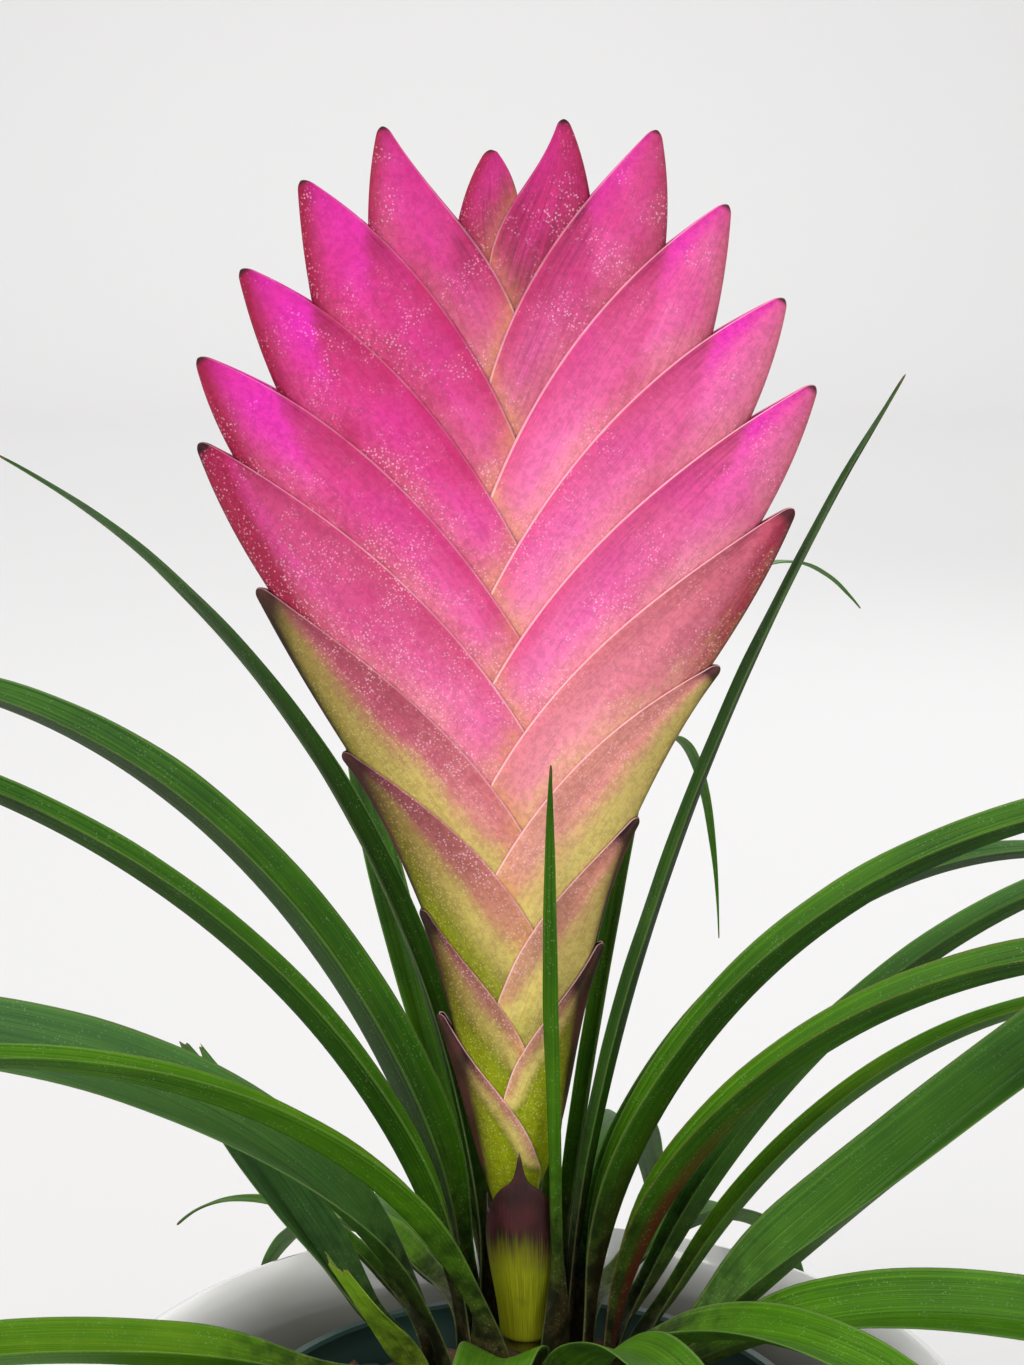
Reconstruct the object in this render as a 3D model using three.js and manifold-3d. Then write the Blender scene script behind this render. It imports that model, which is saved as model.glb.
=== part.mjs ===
// Pink quill plant in a nursery pot that stands in a glazed cover pot.
// Millimetres, +Z up, front towards -Y, origin at the middle of the cover pot's underside.

import * as THREE from "three";
import * as BufferGeometryUtils from "three/addons/utils/BufferGeometryUtils.js";
import Module from "manifold-3d";

const wasm = await Module();
wasm.setup();

// Cover pot
const potHeight = 76;
const potRimRadius = 62;
const potMouthRadius = 51;
const potFootRadius = 43;
const potWall = 5;
const potFloor = 5.5;

// Nursery pot, standing on the cover pot's floor
const nurseryBottom = potFloor + 0.3;
const nurseryTop = 73.5;
const nurseryRimRadius = 38.5;
const nurseryFootRadius = 27;
const nurseryWall = 1.3;
const drainHoleRadius = 3.5;
const drainHoleCount = 6;
const drainHoleRing = 18;

// Growing mix and crown
const mixTop = 68;
const mixGap = 0.3;
const crownBottom = 34;
const crownRootRadius = 5;
const crownNeckRadius = 13.9;

// Leaves start on four steps of the crown, from the innermost to the outermost
const tiers = [
  { radius: 5.6, height: 86, edge: 6.1 },
  { radius: 8.2, height: 83.4, edge: 8.7 },
  { radius: 10.8, height: 80.4, edge: 11.3 },
  { radius: 13.4, height: 77, edge: 13.9 },
];
const seatGap = 0.5;
const leafSteps = 12;
const leafThickness = 0.7;
const leafFold = 52;
const tipFold = 20;
const clawWidth = 2.8;
const clawLength = 30;

// Flower spike
const stalkBottom = 84.2;
const stalkRadius = 3;
const stalkTop = 126;
const spikeLean = -0.018;
const keelThickness = 0.4;
const spikeDepth = 2.4;
const footDepth = 1.1;
const bractLean = 0.055;
const nibWidth = 1.1;
const marginOvershoot = 1.8;
const marginSlope = 60;
const marginLift = 18;
const marginReach = 0.36;
const bractSteps = 10;
const bractRows = 3;

const materials = {
  glaze: { color: 0xf1f0ec, roughness: 0.22, metalness: 0 },
  plastic: { color: 0x16332a, roughness: 0.55, metalness: 0 },
  mix: { color: 0x4a3122, roughness: 0.95, metalness: 0 },
  crown: { color: 0x4f3a2a, roughness: 0.85, metalness: 0 },
  leaf: { color: 0x3f7a22, roughness: 0.5, metalness: 0 },
  bract: { color: 0xdc4f9b, roughness: 0.5, metalness: 0 },
};

// Leaves seen from the front. Azimuth 0 points to +X and 270 to the front; all angles are in
// degrees. A leaf sets off at its rise above level, bends down by its droop on the way to its
// tip, late if curl is above 1, turns sideways by its sway and rolls about itself. Its seat is
// given where it is not rooted on the side that it leans to, cut where its end is missing,
// broad where it reaches its full width early, and fold where it is flatter than most.
const shownLeaves = [
  { azimuth: 151, rise: 86, droop: 65, curl: 1.2, sway: 6, length: 137, width: 6.5, tier: 0 },
  { azimuth: 162, seat: 157, rise: 81, droop: 132, curl: 1.2, sway: -6, length: 188, width: 11, tier: 1 },
  { azimuth: 186, seat: 193, rise: 85, droop: 110, curl: 0.86, length: 200, width: 9, tier: 1, roll: 6 },
  { azimuth: 197, rise: 79.3, droop: 122, curl: 0.75, length: 190, width: 13.8, tier: 2, roll: 38, fold: 32 },
  { azimuth: 206, seat: 236, rise: 86, droop: 119, curl: 0.66, sway: -7, length: 164, width: 8.5, tier: 1 },
  { azimuth: 175, rise: 56, droop: -3, length: 57, width: 11, tier: 3, roll: 30, cut: 0.8 },
  { azimuth: 212, rise: 64, droop: 5, length: 31, width: 8, tier: 3, cut: 0.7 },
  { azimuth: 192, rise: 23, droop: 94, curl: 1.25, length: 175, width: 12, tier: 3, roll: 12 },
  { azimuth: 150, rise: 64, droop: 112, curl: 1.25, sway: -2, length: 52, width: 5, tier: 3 },
  { azimuth: 118, rise: 50, droop: 16, curl: 1.3, sway: -18, length: 108, width: 9, tier: 0 },
  { azimuth: 240, seat: 313, rise: 85.5, droop: -6, length: 77, width: 3.2, tier: 0, taper: 0.6 },
  { azimuth: 5, rise: 85.3, droop: 26, curl: 0.94, sway: 1, length: 129, width: 6, tier: 0, taper: 0.7 },
  { azimuth: 48, rise: 78, droop: 3, sway: 2, length: 104, width: 5, tier: 0 },
  { azimuth: 357, rise: 86, droop: 145, curl: 1.06, sway: -1, length: 189, width: 11, tier: 1, roll: -6 },
  { azimuth: 25, rise: 86, droop: 158, sway: -5, length: 168, width: 9, tier: 1 },
  { azimuth: 350, rise: 86, droop: 150, curl: 0.9, sway: -2, length: 187, width: 11, tier: 2, roll: -6 },
  { azimuth: 8, rise: 64, droop: 146, curl: 1.55, sway: -2, length: 188, width: 9, tier: 2 },
  { azimuth: 16, rise: 62, droop: 156, curl: 1.35, length: 163, width: 6.5, tier: 3 },
  { azimuth: 5, seat: 352, rise: 43, droop: 90, curl: 3, length: 180, width: 14, tier: 3, roll: -34 },
  { azimuth: 338, rise: 53, droop: 126, curl: 0.8, length: 170, width: 13, tier: 3, roll: -26, fold: 36 },
  { azimuth: 318, rise: 58, droop: 126, curl: 0.95, length: 94, width: 12.5, tier: 2, broad: 18, fold: 30 },
  { azimuth: 264, rise: 70, droop: 124, curl: 0.8, length: 84, width: 11.5, tier: 2, broad: 18, fold: 26 },
  { azimuth: 287, rise: 70, droop: 110, curl: 0.96, length: 89, width: 11.5, tier: 3, broad: 20, fold: 26 },
];

// Leaves on the side turned away and low at the front, spread by the same rules
const hiddenLeaves = [
  { azimuth: 74, rise: 87, droop: 165, curl: 1, sway: 2, length: 185, width: 4, tier: 1 },
  { azimuth: 122, rise: 21, droop: 75, curl: 0.9, sway: -6, length: 84, width: 9.5, tier: 2 },
  { azimuth: 100, rise: 38, droop: 98, curl: 0.9, sway: -4, length: 132, width: 9.5, tier: 2 },
  { azimuth: 58, rise: 21, droop: 80, curl: 0.9, sway: 6, length: 96, width: 9.5, tier: 2 },
  { azimuth: 78, rise: 28, droop: 92, curl: 0.9, sway: 3, length: 146, width: 10.5, tier: 3 },
  { azimuth: 112, rise: 20, droop: 88, curl: 0.9, sway: -6, length: 120, width: 10.5, tier: 3 },
  { azimuth: 73, seat: 86, rise: 86, droop: 116, curl: 0.75, sway: -8, length: 214, width: 5, tier: 0 },
  { azimuth: 236, rise: 36, droop: 104, curl: 0.7, sway: 4, length: 140, width: 10.5, tier: 3 },
  { azimuth: 312, rise: 30, droop: 104, curl: 0.7, sway: 4, length: 135, width: 10.5, tier: 3 },
];

// Bracts of the spike from the top down: tip across and up, and the height where the margin
// crosses the spike's middle. Against its chord the keel sets off lower by out and ends steeper
// by bow, and the margin ends flatter by shoulder, all in degrees
const leftBracts = [
  { tip: [-4.1, 233.5], cross: 230.5, out: 56, bow: 39, shoulder: 10 },
  { tip: [-16.4, 236.1], cross: 216.5, out: 50, bow: 32, shoulder: -4 },
  { tip: [-25.7, 230.1], cross: 202, out: 38, bow: 23, shoulder: 18 },
  { tip: [-32.8, 220.1], cross: 190, out: 9, bow: 19, shoulder: 22 },
  { tip: [-38, 210], cross: 179.3, out: -8, bow: 22, shoulder: 20 },
  { tip: [-38.2, 200.1], cross: 168.6, out: 0, bow: 16, shoulder: 14 },
  { tip: [-31.8, 182.9], cross: 155.3, out: 0, bow: 5, shoulder: 10 },
  { tip: [-22, 162.9], cross: 145.2, out: 16, bow: -10, shoulder: 12 },
  { tip: [-12.7, 143.4], cross: 126.6, out: 20, bow: -3, shoulder: -2 },
  { tip: [-10.6, 130], cross: 116, out: 14, bow: -2, shoulder: -10 },
];
const rightBracts = [
  { tip: [4.1, 236.9], cross: 224.5, out: 50, bow: 35, shoulder: -12 },
  { tip: [14.7, 235.7], cross: 211.8, out: 32, bow: 31, shoulder: 10 },
  { tip: [22.9, 227.4], cross: 198.5, out: 28, bow: 23, shoulder: 17 },
  { tip: [29.6, 216.8], cross: 187.2, out: 4, bow: 22, shoulder: 19 },
  { tip: [33.4, 206.8], cross: 176.3, out: 2, bow: 19, shoulder: 13 },
  { tip: [31.3, 192.4], cross: 164.7, out: -2, bow: 11, shoulder: 11 },
  { tip: [23, 173.5], cross: 153, out: 10, bow: -9, shoulder: 18 },
  { tip: [13.5, 154.9], cross: 137.6, out: 20, bow: -9, shoulder: 6 },
  { tip: [9.3, 139.1], cross: 124.3, out: 20, bow: -7, shoulder: -6 },
];

const radians = THREE.MathUtils.degToRad;
const lerp = THREE.MathUtils.lerp;
const clamp = THREE.MathUtils.clamp;
const smooth = (x) => THREE.MathUtils.smoothstep(x, 0, 1);

function makeMesh(name, geometry, look) {
  geometry.computeVertexNormals();
  const mesh = new THREE.Mesh(geometry, new THREE.MeshStandardMaterial(look));
  mesh.name = name;
  return mesh;
}

function geometryFrom(points, faces) {
  const geometry = new THREE.BufferGeometry();
  geometry.setAttribute("position", new THREE.Float32BufferAttribute(points.flat(), 3));
  geometry.setIndex(faces.flat());
  return geometry;
}

function toSolid(geometry) {
  const bare = geometry.clone();
  bare.deleteAttribute("normal");
  bare.deleteAttribute("uv");
  const merged = BufferGeometryUtils.mergeVertices(bare, 1e-4);
  const index = Array.from(merged.index.array);
  const kept = [];
  for (let i = 0; i < index.length; i += 3) {
    const [a, b, c] = index.slice(i, i + 3);
    if (a !== b && b !== c && a !== c) {
      kept.push(a, b, c);
    }
  }
  return new wasm.Manifold(
    new wasm.Mesh({
      numProp: 3,
      vertProperties: new Float32Array(merged.attributes.position.array),
      triVerts: new Uint32Array(kept),
    }),
  );
}

function fromSolid(solid) {
  const mesh = solid.getMesh();
  const geometry = new THREE.BufferGeometry();
  geometry.setAttribute("position", new THREE.BufferAttribute(mesh.vertProperties, 3));
  geometry.setIndex(new THREE.BufferAttribute(mesh.triVerts, 1));
  return geometry;
}

// The outer body alone: scraps are dropped and hollows sealed by joining are filled
function mainBody(solid) {
  const bodies = solid.decompose();
  bodies.sort((a, b) => b.volume() - a.volume());
  return bodies[0];
}

function lathe(profile, segments) {
  const points = profile.map(([r, z]) => new THREE.Vector2(r, z));
  const geometry = new THREE.LatheGeometry(points, segments);
  geometry.rotateX(Math.PI / 2);
  return geometry;
}

function coverPot() {
  const rimDrop = 7;
  const wallOut = potRimRadius - 2.5;
  const wallIn = potMouthRadius - 1.5;
  const profile = [
    [0, 0],
    [potFootRadius - 1.5, 0],
    [potFootRadius, 1.5],
    [lerp(potFootRadius, wallOut, 0.45), 22],
    [lerp(potFootRadius, wallOut, 0.8), 44],
    [wallOut, potHeight - rimDrop - 3],
  ];
  const lipMiddle = (potRimRadius + potMouthRadius) / 2;
  const lipHalf = (potRimRadius - potMouthRadius) / 2;
  for (let i = 0; i <= 6; i += 1) {
    const angle = (Math.PI * i) / 6;
    profile.push([lipMiddle + lipHalf * Math.cos(angle), potHeight - rimDrop + rimDrop * Math.sin(angle)]);
  }
  profile.push([wallIn, potHeight - rimDrop - 4]);
  profile.push([lerp(potFootRadius, wallIn, 0.55) - 1, 24]);
  profile.push([potFootRadius - potWall, potFloor + 5]);
  profile.push([potFootRadius - potWall - 5, potFloor]);
  profile.push([0, potFloor]);
  return makeMesh("cover_pot", lathe(profile, 40), materials.glaze);
}

function nurseryPot() {
  const lip = 2;
  const lipHeight = 5;
  const profile = [
    [0, nurseryBottom],
    [nurseryFootRadius, nurseryBottom],
    [nurseryRimRadius - lip, nurseryTop - lipHeight],
    [nurseryRimRadius, nurseryTop - lipHeight],
    [nurseryRimRadius, nurseryTop],
    [nurseryRimRadius - nurseryWall, nurseryTop],
    [nurseryRimRadius - lip - nurseryWall, nurseryTop - lipHeight - 1],
    [nurseryFootRadius - nurseryWall, nurseryBottom + nurseryWall],
    [0, nurseryBottom + nurseryWall],
  ];
  let pot = toSolid(lathe(profile, 32));
  for (let i = 0; i < drainHoleCount; i += 1) {
    const angle = (2 * Math.PI * i) / drainHoleCount;
    const hole = new THREE.CylinderGeometry(drainHoleRadius, drainHoleRadius, 6, 12);
    hole.rotateX(Math.PI / 2);
    hole.translate(drainHoleRing * Math.cos(angle), drainHoleRing * Math.sin(angle), nurseryBottom);
    pot = pot.subtract(toSolid(hole));
  }
  return makeMesh("nursery_pot", fromSolid(pot), materials.plastic);
}

function growingMix() {
  const bottom = nurseryBottom + nurseryWall + mixGap;
  const slope = (nurseryRimRadius - 2 - nurseryFootRadius) / (nurseryTop - 5 - nurseryBottom);
  const wallRadius = (z) => nurseryFootRadius - nurseryWall + slope * (z - nurseryBottom) - 2 * mixGap;
  const neck = crownNeckRadius + mixGap;
  const profile = [
    [0, bottom],
    [wallRadius(bottom), bottom],
    [wallRadius(mixTop - 3), mixTop - 3],
    [wallRadius(mixTop - 3) - 3, mixTop - 0.8],
    [neck + 6, mixTop + 0.6],
    [neck, mixTop],
    [neck, mixTop - 5],
    [crownRootRadius + mixGap, crownBottom - mixGap],
    [0, crownBottom - mixGap],
  ];
  return makeMesh("growing_mix", lathe(profile, 32), materials.mix);
}

function crown() {
  const profile = [
    [0, crownBottom],
    [crownRootRadius, crownBottom],
    [crownNeckRadius, mixTop - 5 + mixGap],
  ];
  for (const tier of [...tiers].reverse()) {
    profile.push([tier.edge, tier.height - seatGap]);
    const inner = tiers[tiers.indexOf(tier) - 1];
    if (inner) {
      profile.push([inner.edge, tier.height - seatGap]);
    }
  }
  profile.push([4, tiers[0].height - seatGap]);
  profile.push([3.4, stalkBottom - mixGap]);
  profile.push([0, stalkBottom - mixGap]);
  return makeMesh("crown", lathe(profile, 24), materials.crown);
}

// Points along a leaf's midrib, each with its direction, its level side and its upper side
function leafStations(leaf) {
  const tier = tiers[leaf.tier];
  const base = radians(leaf.seat ?? leaf.azimuth);
  const place = new THREE.Vector3(Math.cos(base), Math.sin(base), 0).multiplyScalar(tier.radius);
  place.z = tier.height;
  const fine = 6;
  const count = leafSteps * fine;
  const stations = [];
  for (let i = 0; i <= count; i += 1) {
    const t = i / count;
    const rise = radians(leaf.rise - leaf.droop * t ** (leaf.curl ?? 1));
    const turn = radians(leaf.azimuth + (leaf.sway ?? 0) * t);
    const roll = radians((leaf.roll ?? 0) * smooth(t / 0.35));
    const outward = new THREE.Vector3(Math.cos(turn), Math.sin(turn), 0);
    const along = outward.clone().multiplyScalar(Math.cos(rise)).setZ(Math.sin(rise));
    if (i % fine === 0) {
      const side = new THREE.Vector3(-outward.y, outward.x, 0).applyAxisAngle(along, -roll);
      stations.push({ t, place: place.clone(), side, upper: along.clone().cross(side) });
    }
    place.addScaledVector(along, leaf.length / count);
  }
  return stations;
}

function leafHalfWidth(leaf, t) {
  const broad = leaf.broad ?? Math.min(clawLength, leaf.length * 0.6);
  const grown = lerp(clawWidth, leaf.width, smooth((t * leaf.length) / broad));
  const reach = leaf.cut ? t * leaf.cut : t;
  return Math.max((grown / 2) * (1 - reach ** 2) ** (leaf.taper ?? 0.8), 0.35);
}

// A channelled blade: edge, midrib and edge below, and the same three points above, so that both
// faces are split alike. It is folded deepest low down and flatter at its base and tip.
function leafMesh(leaf, number) {
  const points = [];
  const faces = [];
  for (const { t, place, side, upper } of leafStations(leaf)) {
    const half = leafHalfWidth(leaf, t);
    const opened = lerp(leaf.fold ?? leafFold, tipFold, smooth((t - 0.3) / 0.5));
    const fold = radians(lerp(tipFold, opened, smooth((t * leaf.length) / 14)) * clamp(half / 1.5, 0.4, 1));
    const spot = (across, lift) => place.clone().addScaledVector(side, across).addScaledVector(upper, lift);
    const reach = half * Math.cos(fold);
    const rise = half * Math.sin(fold);
    const inward = leafThickness * Math.sin(fold);
    const upward = leafThickness * Math.cos(fold);
    points.push(
      spot(-reach, rise),
      place.clone(),
      spot(reach, rise),
      spot(inward - reach, rise + upward),
      spot(0, leafThickness / Math.cos(fold)),
      spot(reach - inward, rise + upward),
    );
  }
  for (let i = 0; i < leafSteps; i += 1) {
    const a = i * 6;
    const b = a + 6;
    faces.push([a, a + 1, b + 1], [a, b + 1, b]);
    faces.push([a + 1, a + 2, b + 1], [a + 2, b + 2, b + 1]);
    faces.push([a + 3, b + 4, a + 4], [a + 3, b + 3, b + 4]);
    faces.push([a + 4, b + 4, a + 5], [a + 5, b + 4, b + 5]);
    faces.push([a, b, a + 3], [b, b + 3, a + 3]);
    faces.push([a + 2, a + 5, b + 2], [b + 2, a + 5, b + 5]);
  }
  const last = leafSteps * 6;
  faces.push([0, 3, 1], [1, 3, 4], [1, 4, 2], [2, 4, 5]);
  faces.push([last, last + 1, last + 3], [last + 1, last + 4, last + 3]);
  faces.push([last + 1, last + 2, last + 4], [last + 2, last + 5, last + 4]);
  const name = `leaf_${String(number).padStart(2, "0")}`;
  return makeMesh(name, geometryFrom(points.map((point) => point.toArray()), faces), materials.leaf);
}

const spikeX = (z) => spikeLean * (z - tiers[0].height);

// Half the spike's thickness where a bract lies: thin at its keel, full at the middle, and each
// lower bract a little proud of those above it
function bractHalfDepth(bract, fromKeel, x, z) {
  const outward = Math.min(Math.abs(x - spikeX(z)) / 38, 1);
  const upward = clamp((z - 190) / 48, 0, 1);
  const lens = (1 - 0.65 * outward ** 2) * (1 - 0.7 * upward ** 2);
  const foot = footDepth * (1 - smooth((z - 105) / 40));
  const fill = 1 - Math.exp(-fromKeel / lerp(3, 6, smooth((bract.cross - 112) / 50)));
  return keelThickness + fill * lens * (spikeDepth + foot + bractLean * (z - bract.base));
}

function bractCurves(bract, side) {
  const depth = lerp(19, 26, smooth((bract.cross - 110) / 45));
  bract.base = bract.cross - depth;
  const base = new THREE.Vector2(spikeX(bract.base), bract.base);
  const tip = new THREE.Vector2(...bract.tip);
  const heading = (angle, length) => {
    return new THREE.Vector2(side * length * Math.cos(angle), length * Math.sin(angle));
  };
  const slant = (from) => Math.atan2(tip.y - from.y, side * (tip.x - from.x));
  const crossing = new THREE.Vector2(
    spikeX(bract.cross) - side * marginOvershoot,
    bract.cross - marginOvershoot * Math.tan(radians(marginSlope)),
  );
  const keelEnd = slant(base) + radians(bract.bow);
  const marginEnd = slant(crossing) - radians(bract.shoulder);
  const nib = heading((keelEnd + marginEnd + Math.PI) / 2, nibWidth / 2);
  const reach = tip.distanceTo(base) / 3;
  const low = tip.clone().sub(nib);
  const keel = new THREE.CubicBezierCurve(
    base,
    base.clone().add(heading(slant(base) - radians(bract.out), reach)),
    low.clone().sub(heading(keelEnd, reach)),
    low,
  );
  const span = tip.distanceTo(crossing) * marginReach;
  const high = tip.clone().add(nib);
  const margin = new THREE.CubicBezierCurve(
    crossing,
    crossing.clone().add(heading(slant(crossing) + radians(marginLift), span)),
    high.clone().sub(heading(marginEnd, span)),
    high,
  );
  return { base, keel, margin, crossing };
}

// A keeled bract folded round the spike, solid between its two halves, with the fold's mouth
// sunk in along the margin
function bractSolid(bract, side) {
  const { base, keel, margin, crossing } = bractCurves(bract, side);
  const turnAt = 0.35;
  const points = [];
  const width = 2 * bractRows + 2;
  for (let i = 0; i <= bractSteps; i += 1) {
    const u = i / bractSteps;
    const inner = keel.getPoint(u);
    const lower = base.clone().lerp(crossing, u / turnAt);
    const outer = u < turnAt ? lower : margin.getPoint((u - turnAt) / (1 - turnAt));
    const across = inner.distanceTo(outer);
    const row = [];
    for (let j = 0; j <= bractRows; j += 1) {
      const spot = inner.clone().lerp(outer, j / bractRows);
      const depth = bractHalfDepth(bract, (across * j) / bractRows, spot.x, spot.y);
      row.push([spot.x, depth, spot.y]);
    }
    const front = row.map(([x, y, z]) => [x, -y, z]);
    const mouth = outer.clone().lerp(inner, across > 0 ? Math.min(0.35, 3 / across) : 0);
    points.push(...front, [mouth.x, 0, mouth.y], ...row.slice().reverse());
  }
  const size = width + 1;
  const faces = [];
  for (let i = 0; i < bractSteps; i += 1) {
    for (let j = 0; j < size; j += 1) {
      const a = i * size + j;
      const b = i * size + ((j + 1) % size);
      const c = a + size;
      const d = b + size;
      faces.push(side > 0 ? [a, d, b] : [a, b, d], side > 0 ? [a, c, d] : [a, d, c]);
    }
  }
  const last = bractSteps * size;
  for (let j = 1; j < size - 1; j += 1) {
    faces.push(side > 0 ? [0, j, j + 1] : [0, j + 1, j]);
    faces.push(side > 0 ? [last, last + j + 1, last + j] : [last, last + j, last + j + 1]);
  }
  return toSolid(geometryFrom(points, faces));
}

// A sheath clasping the stalk, drawn out to a short point in its middle
function sheathSolid({ facing, radius, bottom, shoulder, point, spread }) {
  const columns = 12;
  const rows = 4;
  const wall = 1.2;
  const points = [];
  for (let i = 0; i <= columns; i += 1) {
    const across = (2 * i) / columns - 1;
    const angle = radians(facing + (spread / 2) * across);
    const top = shoulder + (point - shoulder) * (1 - Math.abs(across)) ** 2.2 - 3 * across ** 2;
    for (let j = 0; j <= rows; j += 1) {
      const z = lerp(bottom, top, j / rows);
      const taper = radius * lerp(0.78, 1, smooth((z - bottom) / 12));
      for (const r of [taper, taper - wall]) {
        points.push([spikeX(z) + r * Math.cos(angle), r * Math.sin(angle), z]);
      }
    }
  }
  const size = 2 * (rows + 1);
  const faces = [];
  for (let i = 0; i < columns; i += 1) {
    for (let j = 0; j < rows; j += 1) {
      const a = i * size + 2 * j;
      const b = a + size;
      faces.push([a, b, b + 2], [a, b + 2, a + 2]);
      faces.push([a + 1, b + 3, b + 1], [a + 1, a + 3, b + 3]);
    }
    const low = i * size;
    const high = low + 2 * rows;
    faces.push([low, low + 1, low + size + 1], [low, low + size + 1, low + size]);
    faces.push([high, high + size + 1, high + 1], [high, high + size, high + size + 1]);
  }
  for (let j = 0; j < rows; j += 1) {
    const a = 2 * j;
    const b = columns * size + a;
    faces.push([a, a + 2, a + 3], [a, a + 3, a + 1]);
    faces.push([b, b + 3, b + 2], [b, b + 1, b + 3]);
  }
  return toSolid(geometryFrom(points, faces));
}

function stalkSolid() {
  const stalk = lathe(
    [
      [0, stalkBottom],
      [stalkRadius, stalkBottom],
      [stalkRadius, lerp(stalkBottom, stalkTop, 0.6)],
      [1.5, stalkTop],
      [0, stalkTop],
    ],
    16,
  );
  const position = stalk.attributes.position;
  for (let i = 0; i < position.count; i += 1) {
    position.setX(i, position.getX(i) + spikeX(position.getZ(i)));
  }
  return toSolid(stalk);
}

function quill() {
  const pieces = [
    stalkSolid(),
    ...leftBracts.map((bract) => bractSolid(bract, -1)),
    ...rightBracts.map((bract) => bractSolid(bract, 1)),
    sheathSolid({ facing: 180, radius: 4.6, bottom: 87.5, shoulder: 106, point: 113, spread: 170 }),
    sheathSolid({ facing: 0, radius: 4.4, bottom: 87.5, shoulder: 105, point: 112, spread: 170 }),
    sheathSolid({ facing: 266, radius: 4.5, bottom: 87.5, shoulder: 106.5, point: 112, spread: 150 }),
  ];
  const joined = wasm.Manifold.union(pieces);
  return makeMesh("quill", fromSolid(mainBody(joined)), materials.bract);
}

const plant = new THREE.Group();
plant.add(coverPot());
plant.add(nurseryPot());
plant.add(growingMix());
plant.add(crown());
plant.add(quill());
for (const [i, leaf] of [...shownLeaves, ...hiddenLeaves].entries()) {
  plant.add(leafMesh(leaf, i + 1));
}

export default plant;
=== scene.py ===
import math
import random

import bpy
from mathutils import Matrix, Vector


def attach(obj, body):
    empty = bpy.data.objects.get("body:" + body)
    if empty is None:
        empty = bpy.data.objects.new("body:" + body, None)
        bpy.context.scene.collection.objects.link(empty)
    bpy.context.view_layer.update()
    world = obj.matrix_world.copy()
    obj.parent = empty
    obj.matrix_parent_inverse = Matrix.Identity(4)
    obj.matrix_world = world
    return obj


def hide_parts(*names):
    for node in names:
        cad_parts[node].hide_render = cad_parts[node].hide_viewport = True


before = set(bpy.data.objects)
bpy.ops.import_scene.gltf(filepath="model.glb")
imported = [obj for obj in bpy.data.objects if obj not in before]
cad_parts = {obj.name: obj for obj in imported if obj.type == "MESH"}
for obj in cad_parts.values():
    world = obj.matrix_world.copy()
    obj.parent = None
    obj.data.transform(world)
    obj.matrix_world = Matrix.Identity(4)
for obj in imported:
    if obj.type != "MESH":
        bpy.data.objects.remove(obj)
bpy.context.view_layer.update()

mm = 0.001
rand = random.Random(11)


# small sums used by several pieces
def lerp(a, b, t):
    return a + (b - a) * t


def clamp(x, low=0.0, high=1.0):
    return max(low, min(high, x))


def smooth(x, low=0.0, high=1.0):
    t = clamp((x - low) / (high - low))
    return t * t * (3 - 2 * t)


def colour(red, green, blue):
    # screen values 0 to 255 turned into the linear values that shaders take
    parts = []
    for value in (red, green, blue):
        share = value / 255
        parts.append(share / 12.92 if share <= 0.04045 else ((share + 0.055) / 1.055) ** 2.4)
    return (*parts, 1)


def wobble(x, seed=0.0):
    # smooth repeatable noise from -1 to 1 along one number
    slow = math.sin(x * 1.7 + seed * 5.1)
    middling = math.sin(x * 2.9 + seed * 2.3) * 0.6
    quick = math.sin(x * 5.3 + seed) * 0.35
    return (slow + middling + quick) / 1.95


# camera, floor and light, in metres and degrees, with the lens in mm
view = {
    "place": (-1.7 * mm, -286.4 * mm, 235 * mm),
    "downward": 12.5,
    "lens": 65,
    "floor": 6.0,
    "wall": 2.3,
    "wallHeight": 2.2,
    "bend": 0.5,
    "aim": (0, 0, 0.13),
}


def addCamera():
    bpy.ops.object.select_all(action="DESELECT")
    turn = (math.radians(90 - view["downward"]), 0, 0)
    bpy.ops.object.camera_add(location=view["place"], rotation=turn)
    camera = bpy.context.object
    camera.name = "camera"
    camera.data.lens = view["lens"]
    camera.data.sensor_width = 36
    camera.data.clip_start = 0.01
    bpy.context.scene.camera = camera


def addStudio():
    # one pale sheet: a floor that curves up into a wall behind
    bpy.ops.object.select_all(action="DESELECT")
    size = view["floor"]
    bpy.ops.mesh.primitive_plane_add(size=size, location=(0, view["wall"] - size / 2, 0))
    sheet = bpy.context.object
    sheet.name = "paperSweep"
    bpy.ops.object.mode_set(mode="EDIT")
    bpy.ops.mesh.select_mode(type="EDGE")
    bpy.ops.mesh.select_all(action="DESELECT")
    bpy.ops.object.mode_set(mode="OBJECT")
    for edge in sheet.data.edges:
        ends = [sheet.data.vertices[i].co.y for i in edge.vertices]
        edge.select = min(ends) > size / 2 - 0.01
    bpy.ops.object.mode_set(mode="EDIT")
    bpy.ops.mesh.extrude_region_move(TRANSFORM_OT_translate={"value": (0, 0, view["wallHeight"])})
    bpy.ops.mesh.select_all(action="SELECT")
    bpy.ops.object.mode_set(mode="OBJECT")
    bpy.ops.object.transform_apply(location=True, rotation=True, scale=True)
    bend = sheet.modifiers.new("curve", "BEVEL")
    bend.width = view["bend"]
    bend.segments = 16
    bpy.ops.object.modifier_apply(modifier=bend.name)
    bpy.ops.object.shade_smooth()
    paint = Paint("palePaper")
    paint.shader({"Base Color": colour(220, 219, 219), "Roughness": 0.9})
    sheet.data.materials.append(paint.material)


def addLight(name, place, aim, size, power, tint=(1, 1, 1)):
    bpy.ops.object.select_all(action="DESELECT")
    facing = (Vector(aim) - Vector(place)).to_track_quat("-Z", "Y").to_euler()
    bpy.ops.object.light_add(type="AREA", location=place, rotation=facing)
    lamp = bpy.context.object
    lamp.name = name
    lamp.data.energy = power
    lamp.data.color = tint
    lamp.data.shape = "SQUARE"
    lamp.data.size = size


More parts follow.
